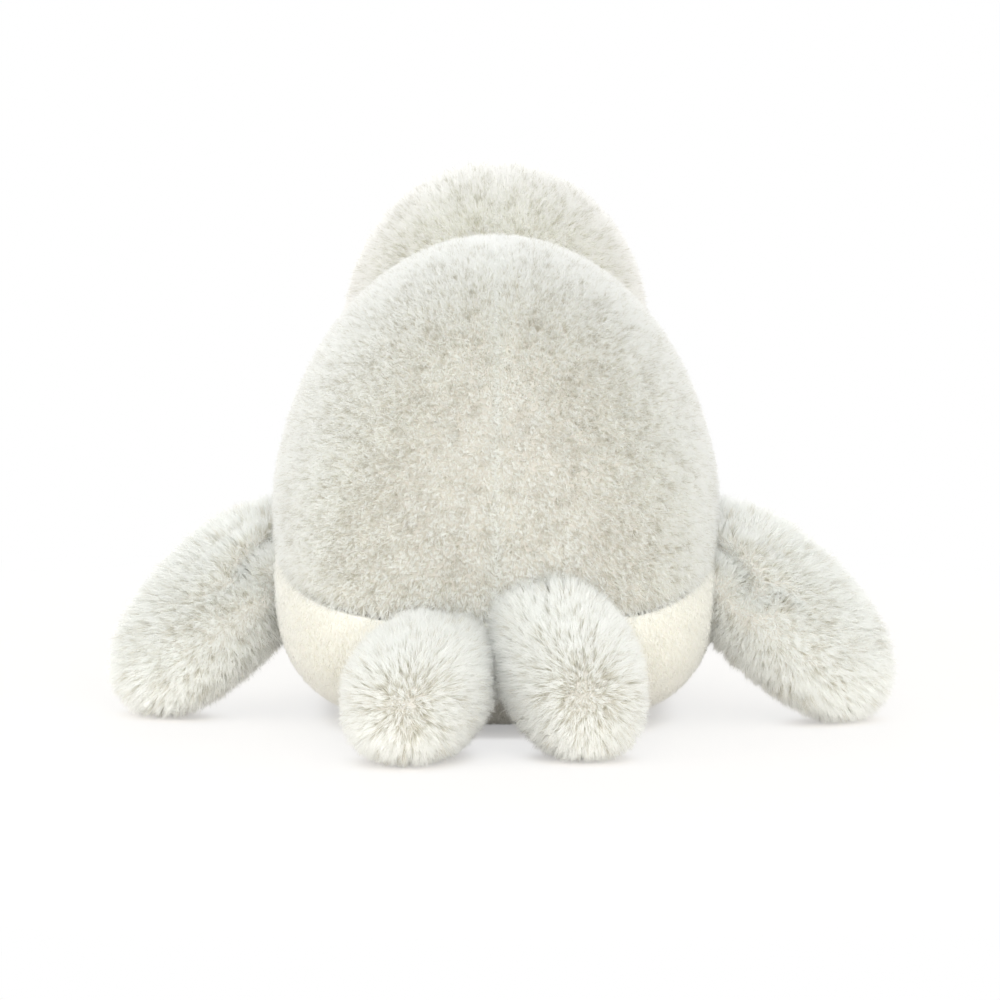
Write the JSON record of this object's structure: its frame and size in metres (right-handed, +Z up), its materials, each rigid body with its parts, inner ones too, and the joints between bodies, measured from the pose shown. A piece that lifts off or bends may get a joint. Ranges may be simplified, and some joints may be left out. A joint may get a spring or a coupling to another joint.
{
  "type": "plush seal",
  "caption": "Plush toy seal lying on its belly, grey long-pile fur over a cream underside, with sewn-on flippers that lift and a head that nods in its neck seam",
  "frame": {"origin": "on the floor under the middle of the toy's outline", "axes": "+Z up; the nose points along -Y and the tail along +Y; the seal's left side is +X"},
  "size_m": [0.2178, 0.292, 0.1515],
  "materials": {
    "grey_fur": "long soft pile, frosted tips",
    "cream_fur": "short soft pile",
    "fibre_fill": "loose polyester fibre",
    "pouch_cloth": "plain thin weave",
    "pellets": "small plastic beans",
    "eye_plastic": "polished black",
    "nose_plastic": "satin dark brown",
    "washer_plastic": "moulded"
  },
  "bodies": {
    "body": {"back_left_panel": "grey_fur", "back_right_panel": "grey_fur", "belly_panel": "cream_fur", "chest_panel": "cream_fur", "body_filling": "fibre_fill", "bean_pouch": "pouch_cloth", "bean_pellets": "pellets"},
    "head": {"head_left_panel": "grey_fur", "head_right_panel": "grey_fur", "muzzle_panel": "cream_fur", "chin_panel": "cream_fur", "head_filling": "fibre_fill", "left_eye": "eye_plastic", "left_eye_washer": "washer_plastic", "right_eye": "eye_plastic", "right_eye_washer": "washer_plastic", "nose": "nose_plastic", "nose_washer": "washer_plastic"},
    "left_flipper": {"left_flipper_top": "grey_fur", "left_flipper_underside": "grey_fur", "left_flipper_filling": "fibre_fill"},
    "right_flipper": {"right_flipper_top": "grey_fur", "right_flipper_underside": "grey_fur", "right_flipper_filling": "fibre_fill"},
    "left_tail_flipper": {"left_tail_top": "grey_fur", "left_tail_underside": "grey_fur", "left_tail_filling": "fibre_fill"},
    "right_tail_flipper": {"right_tail_top": "grey_fur", "right_tail_underside": "grey_fur", "right_tail_filling": "fibre_fill"}
  },
  "joints": [
    {"name": "head_nod", "type": "hinge", "parent": "body", "child": "head", "pos_m": [0.00149, -0.08246, 0.1025], "axis": [1, 0, 0], "range_deg": [0, 10], "stiffness_Nm_per_rad": 0.15, "springref_deg": -2.86},
    {"name": "left_flipper_lift", "type": "hinge", "parent": "body", "child": "left_flipper", "pos_m": [0.06207, 0.0157, 0.05345], "axis": [0, -0.8572, 0.515], "range_deg": [0, 45], "stiffness_Nm_per_rad": 0.02},
    {"name": "right_flipper_lift", "type": "hinge", "parent": "body", "child": "right_flipper", "pos_m": [-0.05928, 0.03205, 0.05345], "axis": [0, 0.8572, -0.515], "range_deg": [0, 45], "stiffness_Nm_per_rad": 0.02},
    {"name": "left_tail_lift", "type": "hinge", "parent": "body", "child": "left_tail_flipper", "pos_m": [0.01829, 0.10281, 0.038], "axis": [1, 0, 0], "range_deg": [0, 30], "stiffness_Nm_per_rad": 0.02},
    {"name": "right_tail_lift", "type": "hinge", "parent": "body", "child": "right_tail_flipper", "pos_m": [-0.01271, 0.10346, 0.046], "axis": [1, 0, 0], "range_deg": [0, 30], "stiffness_Nm_per_rad": 0.02}
  ]
}
